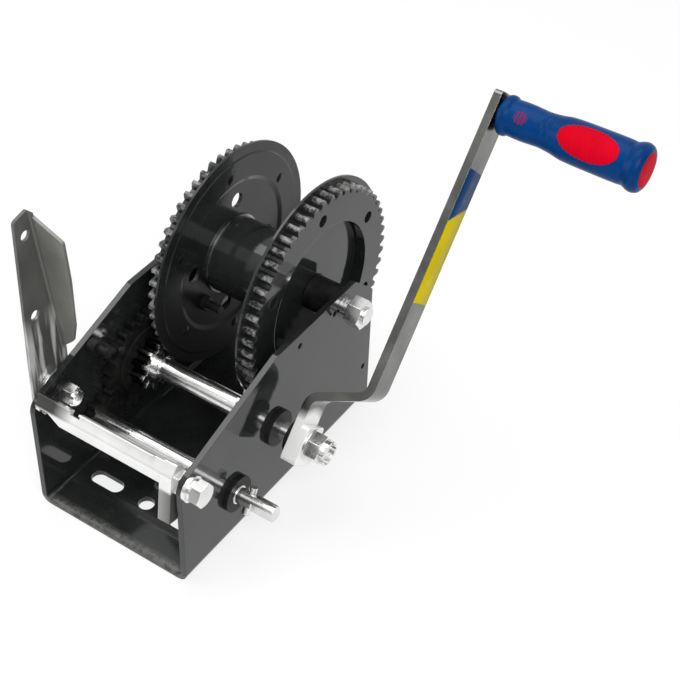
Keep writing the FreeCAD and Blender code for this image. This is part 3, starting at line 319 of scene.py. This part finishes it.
def lever_steel(left):
    """Dull sheet with painted highlight streaks above its bolt, and a wing painted lighter than
    the flat strip, as light falls on it.
    """
    g = Graph("lever_steel")
    g.set(Metallic=0.35)
    cloud = g.noise(34.0, 4.0)
    fine = g.noise(600.0, 4.0, 0.6)
    flat = g.clouds(cloud, (0.085, 0.085, 0.08), (0.125, 0.125, 0.117))
    # Painted light: the wing is the same sheet as the flat strip, given a lighter colour.
    wing_lit = g.clouds(cloud, (0.17, 0.17, 0.16), (0.25, 0.25, 0.235))
    inner = left + LEVER_SHEET
    base = g.mix(g.near("X", inner, inner + LEVER_FOLD), flat, wing_lit)
    # Painted highlight: bright streaks on the lower flat strip next to the fold.
    stretched = g.node("ShaderNodeVectorMath", {0: g.place, 1: (90.0, 190.0, 14.0)},
                       operation="MULTIPLY").outputs["Vector"]
    highlight_streaks = g.ramp(g.noise(1.0, 2.0, 0.5, stretched), (0.47, 0.0), (0.60, 1.0))
    on_flat = g.near("X", inner + LEVER_HIGHLIGHT_REACH, inner)
    low = g.both(g.both(g.near("Z", *LEVER_HIGHLIGHT_HEIGHT), on_flat), highlight_streaks)
    base = g.mix(low, base, (0.62, 0.62, 0.61))
    g.link(base, "Base Color")
    g.grainy(cloud, fine, 0.3, 0.45)
    g.bump((fine, 0.06, 0.0003))
    return g.material


def plastic(name, dark, light, rough, gloss):
    g = Graph(name)
    g.set(Metallic=0.0, IOR=1.46, Specular_IOR_Level=gloss)
    cloud = g.noise(45.0, 4.0)
    g.link(g.clouds(cloud, dark, light), "Base Color")
    g.link(g.ramp(g.noise(300.0, 4.0), (0.3, rough - 0.06), (0.7, rough + 0.08)), "Roughness")
    g.bump((g.noise(1100.0, 3.0, 0.6), 0.12, 0.0002))
    return g.material


def pad_stripes(middle, pitch):
    """Dull red ribs on blue, across the grip."""
    g = Graph("pad_stripes")
    g.set(IOR=1.46, Specular_IOR_Level=0.1, Roughness=0.4)
    parts = g.node("ShaderNodeSeparateXYZ", {"Vector": g.place})
    along = g.node("ShaderNodeMath", {0: parts.outputs["X"], 1: middle}, operation="SUBTRACT")
    turns = g.node("ShaderNodeMath", {0: along.outputs[0], 1: math.tau / pitch},
                   operation="MULTIPLY")
    wave = g.node("ShaderNodeMath", {0: turns.outputs[0]}, operation="COSINE")
    rib = g.ramp(wave.outputs[0], (0.05, 0.0), (0.45, 1.0))
    g.link(g.mix(rib, (0.0006, 0.040, 0.15), (0.24, 0.004, 0.03)), "Base Color")
    g.bump((g.noise(1100.0, 3.0, 0.6), 0.12, 0.0002))
    return g.material


def axis_of(node):
    """Y and Z of a round node's axis, in metres."""
    low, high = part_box(node)
    return (low.y + high.y) / 2, (low.z + high.z) / 2


FRAME_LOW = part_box("frame")[0]
LEG_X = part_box("front_brace")[1].x
GEAR_TIP_R = 0.0735
# Heights of the painted shade on the left flange's lower part
FLANGE_PAINTED_SHADE = (0.085, 0.135)
ROUND_PAD_PLACE = 15.5
ROUND_PAD_PITCH = 2.4
MM = 0.001
MM_PER_M = 1000.0

MATERIALS = {
    "black_paint": black_paint("black_paint"),
    "black_steel": black_steel(),
    "bright_zinc": zinc("bright_zinc", (0.70, 0.70, 0.69), (0.86, 0.86, 0.85), 0.12, 0.24, 700.0),
    "satin_zinc": zinc("satin_zinc", (0.50, 0.49, 0.46), (0.66, 0.65, 0.62), 0.26, 0.42, 900.0),
    "blue_grip": plastic("blue_grip", (0.0003, 0.030, 0.125), (0.0005, 0.040, 0.165), 0.26, 0.07),
    "red_cap": plastic("red_cap", (0.46, 0.0004, 0.010), (0.56, 0.0006, 0.014), 0.5, 0.03),
    "label_blue": plastic("label_blue", (0.0004, 0.030, 0.115), (0.0006, 0.04, 0.15), 0.3, 0.05),
    "label_yellow": plastic("label_yellow", (0.50, 0.40, 0.0006), (0.60, 0.48, 0.001), 0.35, 0.04),
    "crank_bar": crank_bar(*axis_of("drive_shaft")),
    "brace_plating": brace_plating(FRAME_LOW.x, FRAME_LOW.y, LEG_X),
    "pinion_steel": pinion_steel(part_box("left_pinion")[0].x),
    "frame_paint": black_paint("frame_paint", FRAME_LOW.y),
    "flange_paint": black_paint("flange_paint", painted_shade=FLANGE_PAINTED_SHADE),
    "gear_paint": black_paint("gear_paint", tips=(*axis_of("drum_hub"), GEAR_TIP_R)),
    "rubbed_steel": zinc("rubbed_steel", (0.05, 0.05, 0.05), (0.42, 0.42, 0.41), 0.2, 0.4, 300.0),
    "pad_stripes": pad_stripes(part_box("grip")[0].x + ROUND_PAD_PLACE * MM,
                               ROUND_PAD_PITCH * MM),
    "lever_steel": lever_steel(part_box("brake_lever")[0].x),
}

# Nodes whose surface differs from the rest of their slot in the photograph
SPECIAL = {
    "crank_arm": "crank_bar",
    "brake_lever": "lever_steel",
    "front_brace": "brace_plating",
    "frame": "frame_paint",
    "left_flange": "flange_paint",
    "left_drum_gear": "gear_paint",
    "right_drum_gear": "gear_paint",
    "hub_collar": "rubbed_steel",
    "left_pinion": "pinion_steel",
}

for row in frame["record"]["subparts"]:
    mesh = NODES[row["node"]].data
    mesh.materials.clear()
    mesh.materials.append(MATERIALS[SPECIAL.get(row["node"], row["material_slot"])])


# Mesh helpers

def piece(name, vertices, faces, material, body, smooth_angle):
    """Mesh object from vertices in millimetres, riding on a body."""
    mesh = bpy.data.meshes.new(name)
    mesh.from_pydata([Vector(v) * MM for v in vertices], [], faces)
    work = bmesh.new()
    work.from_mesh(mesh)
    bmesh.ops.remove_doubles(work, verts=work.verts, dist=1e-6)
    bmesh.ops.recalc_face_normals(work, faces=work.faces)
    limit = math.radians(smooth_angle)
    for edge in work.edges:
        edge.smooth = len(edge.link_faces) == 2 and edge.calc_face_angle(0.0) < limit
    for face in work.faces:
        face.smooth = True
    work.to_mesh(mesh)
    work.free()
    mesh.materials.append(MATERIALS[material])
    obj = bpy.data.objects.new(name, mesh)
    bpy.context.scene.collection.objects.link(obj)
    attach(obj, body)
    return obj


def box_mm(node):
    low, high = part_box(node)
    return low * MM_PER_M, high * MM_PER_M


def centre_mm(node):
    low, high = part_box(node)
    return (low + high) * (MM_PER_M / 2)


def ring_faces(first, after, around):
    """Faces between two rings of vertices, from the numbers of their first vertices."""
    faces = []
    for k in range(around):
        n = (k + 1) % around
        faces.append((first + k, first + n, after + n, after + k))
    return faces


def smooth_curve(points, at):
    """Value at a place on a smooth curve through (place, value) points."""
    for k in range(len(points) - 1):
        if at <= points[k + 1][0]:
            break
    (x0, y0), (x1, y1) = points[k], points[k + 1]
    before = points[k - 1] if k > 0 else points[k]
    after = points[k + 2] if k + 2 < len(points) else points[k + 1]
    span = x1 - x0
    slope0 = (y1 - before[1]) / max(x1 - before[0], 1e-9) * span
    slope1 = (after[1] - y0) / max(after[0] - x0, 1e-9) * span
    u = min(max((at - x0) / span, 0.0), 1.0)
    return ((2 * u ** 3 - 3 * u ** 2 + 1) * y0 + (u ** 3 - 2 * u ** 2 + u) * slope0
            + (3 * u ** 2 - 2 * u ** 3) * y1 + (u ** 3 - u ** 2) * slope1)


def bump_window(value, half, soft):
    """1 round zero, falling to 0 over the soft distance at half on both sides."""
    edge = abs(value)
    if edge <= half - soft:
        return 1.0
    if edge >= half:
        return 0.0
    return 0.5 + 0.5 * math.cos(math.pi * (edge - half + soft) / soft)


# Grip

GRIP_LOW, GRIP_HIGH = box_mm("grip")
GRIP_C = (GRIP_LOW + GRIP_HIGH) / 2

# Outline of the grip as (distance from its near end, radius)
GRIP_PROFILE = [
    (0.0, 10.8), (0.6, 11.8), (1.8, 12.7), (3.6, 13.0), (5.2, 12.65), (6.2, 12.0), (7.2, 11.7),
    (12.0, 11.85), (18.0, 11.85), (24.0, 11.5), (29.0, 11.35), (36.0, 12.0), (44.0, 13.4),
    (54.0, 13.85), (68.0, 14.0), (78.0, 14.05), (82.5, 13.95), (85.0, 13.75), (86.4, 13.9),
    (88.0, 14.6), (89.6, 15.2), (91.8, 15.6), (94.0, 15.2), (95.8, 14.2), (97.0, 12.4),
]
GRIP_BORE_R = 5.0
PAD_ANGLES = (136.0, -44.0)
GROOVE_PLACES = (30.0, 34.3)
GROOVE_DEPTH = 0.55
GROOVE_WIDTH = 0.85
GROOVE_HALF_ANGLE = 42.0
GROOVE_FADE_ANGLE = 24.0
PAD_SKIRT = 0.4
ROWS_PER_RIB = 8


def grip_radius(d, degrees):
    """Radius of the grip at a distance from its near end, with its grooves."""
    radius = smooth_curve(GRIP_PROFILE, d)
    for middle in PAD_ANGLES:
        turn = (degrees - middle + 180.0) % 360.0 - 180.0
        window = bump_window(turn, GROOVE_HALF_ANGLE, GROOVE_FADE_ANGLE)
        for place in GROOVE_PLACES:
            radius -= GROOVE_DEPTH * window * math.exp(-((d - place) / GROOVE_WIDTH) ** 2)
    return radius


def grip_point(d, degrees, radius):
    a = math.radians(degrees)
    return (GRIP_LOW.x + d, GRIP_C.y + radius * math.cos(a), GRIP_C.z + radius * math.sin(a))


def grip_body():
    """Blue grip with its soft outline, closed at both ends down to its bore."""
    steps, around = 260, 128
    last = GRIP_PROFILE[-1][0]
    rows = [last * k / steps for k in range(steps + 1)]
    vertices = []
    for d in rows:
        for k in range(around):
            degrees = 360.0 * k / around
            vertices.append(grip_point(d, degrees, grip_radius(d, degrees)))
    faces = []
    for r in range(steps):
        faces += ring_faces(r * around, (r + 1) * around, around)
    for first, d in ((0, 0.0), (steps * around, last)):
        start = len(vertices)
        for k in range(around):
            vertices.append(grip_point(d, 360.0 * k / around, GRIP_BORE_R))
        faces += ring_faces(first, start, around)
    return piece("grip_body", vertices, faces, "blue_grip", "grip", 50.0)


def grip_pad(name, middle, centre, half_length, half_angle, pitch, lift, columns, material):
    """Ribbed inlay on the grip with a toothed outline and a skirt sunk into the grip."""
    rows = int(half_length * 2 / (pitch / ROWS_PER_RIB))
    vertices, faces = [], []
    for r in range(rows + 1):
        u = -1.0 + 2.0 * r / rows
        d = centre + half_length * u
        rib = 0.5 + 0.5 * math.cos(2 * math.pi * (d - centre) / pitch)
        reach = half_angle * (math.sqrt(max(0.0, 1.0 - u * u)) * (0.93 + 0.07 * rib) + 0.01)
        for c in range(columns + 1):
            v = -1.0 + 2.0 * c / columns
            degrees = middle + reach * v
            base = grip_radius(d, degrees)
            rim = max(abs(u), abs(v)) >= 0.999
            raised = lift * (0.45 + 0.55 * rib ** 0.6)
            near = bump_window(v, 1.0, 0.12)
            height = -PAD_SKIRT if rim else raised * near
            vertices.append(grip_point(d, degrees, base + height))
    wide = columns + 1
    for r in range(rows):
        for c in range(columns):
            a = r * wide + c
            faces.append((a, a + 1, a + wide + 1, a + wide))
    return piece(name, vertices, faces, material, "grip", 60.0)


def grip_end_cap():
    """Red end cap, slightly domed, in the recess of the grip's flange."""
    around = 96
    profile = [(95.0, 11.4), (96.9, 11.3), (97.3, 10.9), (97.5, 9.6), (97.75, 5.6), (97.85, 2.0)]
    vertices, faces = [], []
    for d, radius in profile:
        for k in range(around):
            vertices.append(grip_point(d, 360.0 * k / around, radius))
    for r in range(len(profile) - 1):
        faces += ring_faces(r * around, (r + 1) * around, around)
    faces.append(tuple((len(profile) - 1) * around + k for k in range(around)))
    faces.append(tuple(reversed(range(around))))
    return piece("grip_end_cap", vertices, faces, "red_cap", "grip", 40.0)


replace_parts(grip_body(), "grip")
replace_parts(grip_end_cap(), "grip_cap")
for number, middle in enumerate(PAD_ANGLES):
    grip_pad("grip_oval_pad_%d" % number, middle, 61.3, 20.0, 48.0, 2.7, 0.55, 40, "red_cap")
    grip_pad("grip_round_pad_%d" % number, middle + 1.0, ROUND_PAD_PLACE, 4.8, 22.0,
             ROUND_PAD_PITCH, 0.35, 24, "pad_stripes")


# Label strip on the crank

def crank_frame():
    """Origin on the drive axis, and the directions along and across the crank arm."""
    hub = centre_mm("drive_shaft")
    tip = centre_mm("grip_spindle")
    along = Vector((0.0, tip.y - hub.y, tip.z - hub.z)).normalized()
    across = Vector((0.0, -along.z, along.y))
    return Vector((0.0, hub.y, hub.z)), along, across


HUB, ALONG, ACROSS = crank_frame()
ARM_FACE = box_mm("crank_arm")[1].x


def arm_point(reach, side, x):
    return HUB + ALONG * reach + ACROSS * side + Vector((x, 0.0, 0.0))


def strip_on_arm(name, corners, thick, material):
    """Thin sheet on the arm's outer face with a bevelled rim, from (reach, side) corners."""
    vertices, faces = [], []
    middle = (sum(c[0] for c in corners) / len(corners), sum(c[1] for c in corners) / len(corners))
    levels = ((0.0, 1.0), (thick * 0.6, 1.0), (thick, 0.985))
    for height, shrink in levels:
        for reach, side in corners:
            vertices.append(arm_point(middle[0] + (reach - middle[0]) * shrink,
                                      middle[1] + (side - middle[1]) * shrink, ARM_FACE + height))
    n = len(corners)
    for level in range(len(levels) - 1):
        for k in range(n):
            a, b = level * n + k, level * n + (k + 1) % n
            faces.append((a, b, b + n, a + n))
    faces.append(tuple(2 * n + k for k in range(n)))
    faces.append(tuple(reversed(range(n))))
    return piece(name, vertices, faces, material, "drive", 30.0)


LABEL_HALF = 10.8
LABEL_THICK = 0.12
strip_on_arm("label_blue", [(199.0, LABEL_HALF), (197.5, -LABEL_HALF), (175.5, -LABEL_HALF),
                            (164.6, LABEL_HALF)], LABEL_THICK, "label_blue")
strip_on_arm("label_yellow", [(164.0, LABEL_HALF), (174.9, -LABEL_HALF), (110.0, -LABEL_HALF),
                              (110.0, LABEL_HALF)], LABEL_THICK, "label_yellow")


# Floor, lights and camera

FLOOR_GLOW = 0.75
FLOOR_RADIUS = 6.0


def white_floor():
    """White floor that glows a little for the camera and in reflections."""
    g = Graph("studio_floor")
    g.set(Base_Color=(0.86, 0.86, 0.86), Roughness=0.9)
    rays = g.node("ShaderNodeLightPath")
    seen = g.node("ShaderNodeMath", {0: rays.outputs["Is Camera Ray"],
                                     1: rays.outputs["Is Glossy Ray"]}, operation="MAXIMUM")
    seen = g.node("ShaderNodeMath", {0: seen.outputs[0],
                                     1: rays.outputs["Is Transmission Ray"]}, operation="MAXIMUM")
    share = g.node("ShaderNodeMath", {0: seen.outputs[0], 1: FLOOR_GLOW}, operation="MULTIPLY")
    glow = g.node("ShaderNodeEmission", {"Color": (1.0, 1.0, 1.0, 1.0), "Strength": 1.0})
    mixed = g.node("ShaderNodeMixShader", {0: share.outputs[0], 1: g.shader.outputs[0],
                                           2: glow.outputs[0]})
    g.tree.links.new(mixed.outputs[0], g.output.inputs["Surface"])
    return g.material


bpy.ops.mesh.primitive_circle_add(vertices=64, radius=FLOOR_RADIUS, fill_type="NGON",
                                  location=(0, 0, -0.0005))
floor = bpy.context.object
floor.name = "studio_floor"
floor.data.materials.append(white_floor())

BRIGHT_SIDE = (-0.38, 0.42, 0.82)
SHEEN_LOW, SHEEN_HIGH = 0.30, 1.05
SKY_LIGHT = 0.45


def studio_world():
    """White for the camera; for reflections it darkens towards the front and the side."""
    world = bpy.data.worlds.new("studio")
    world.use_nodes = True
    tree = world.node_tree
    background = tree.nodes["Background"]
    background.inputs["Color"].default_value = (1.0, 1.0, 1.0, 1.0)
    rays = add_node(tree, "ShaderNodeLightPath")
    direction = add_node(tree, "ShaderNodeTexCoord").outputs["Generated"]
    facing = add_node(tree, "ShaderNodeVectorMath", {0: direction, 1: BRIGHT_SIDE},
                      operation="DOT_PRODUCT")
    sheen = add_node(tree, "ShaderNodeMapRange",
                     {"Value": facing.outputs["Value"], "From Min": -0.25, "From Max": 0.6,
                      "To Min": SHEEN_LOW, "To Max": SHEEN_HIGH})
    seen = add_node(tree, "ShaderNodeMath", {0: rays.outputs["Is Camera Ray"],
                                             1: rays.outputs["Is Transmission Ray"]},
                    operation="MAXIMUM")
    plain = add_node(tree, "ShaderNodeMapRange", {"Value": seen.outputs[0],
                                                  "To Min": SKY_LIGHT, "To Max": 1.0})
    mixed = add_node(tree, "ShaderNodeMix", data_type="FLOAT")
    tree.links.new(rays.outputs["Is Glossy Ray"], mixed.inputs[0])
    tree.links.new(plain.outputs["Result"], mixed.inputs[2])
    tree.links.new(sheen.outputs["Result"], mixed.inputs[3])
    tree.links.new(mixed.outputs[0], background.inputs["Strength"])
    return world


bpy.context.scene.world = studio_world()

LAMP_TARGET = Vector((0.0, 0.0, 0.08))


def lamp(name, place, size, power):
    light = bpy.data.lights.new(name, "AREA")
    light.shape = "RECTANGLE"
    light.size, light.size_y = size
    light.energy = power
    obj = bpy.data.objects.new(name, light)
    obj.location = place
    obj.rotation_euler = (LAMP_TARGET - Vector(place)).to_track_quat("-Z", "Y").to_euler()
    bpy.context.scene.collection.objects.link(obj)


lamp("key", (0.9, -0.7, 1.3), (0.9, 0.9), 16.0)
lamp("top", (-0.3, 0.2, 1.6), (1.4, 1.0), 14.0)
lamp("fill", (-1.3, -0.9, 0.7), (0.8, 1.2), 9.0)

# Camera as fitted to the photograph: its focal length, its place and its own axes
CAMERA_LENS = 82.9357
CAMERA_PLACE = (0.46831, -0.57264, 0.78718)
CAMERA_RIGHT = Vector((0.82716, 0.561236, 0.028637))
CAMERA_UP = Vector((-0.400087, 0.552339, 0.731336))
CAMERA_BACK = Vector((0.394635, -0.616389, 0.681416))

camera = bpy.data.cameras.new("camera")
camera.lens = CAMERA_LENS
camera.sensor_width = 36.0
camera_object = bpy.data.objects.new("camera", camera)
rotation = Matrix((CAMERA_RIGHT, CAMERA_UP, CAMERA_BACK)).transposed().to_4x4()
camera_object.matrix_world = Matrix.Translation(CAMERA_PLACE) @ rotation
bpy.context.scene.collection.objects.link(camera_object)
bpy.context.scene.camera = camera_object

bpy.context.scene.view_settings.view_transform = "Standard"
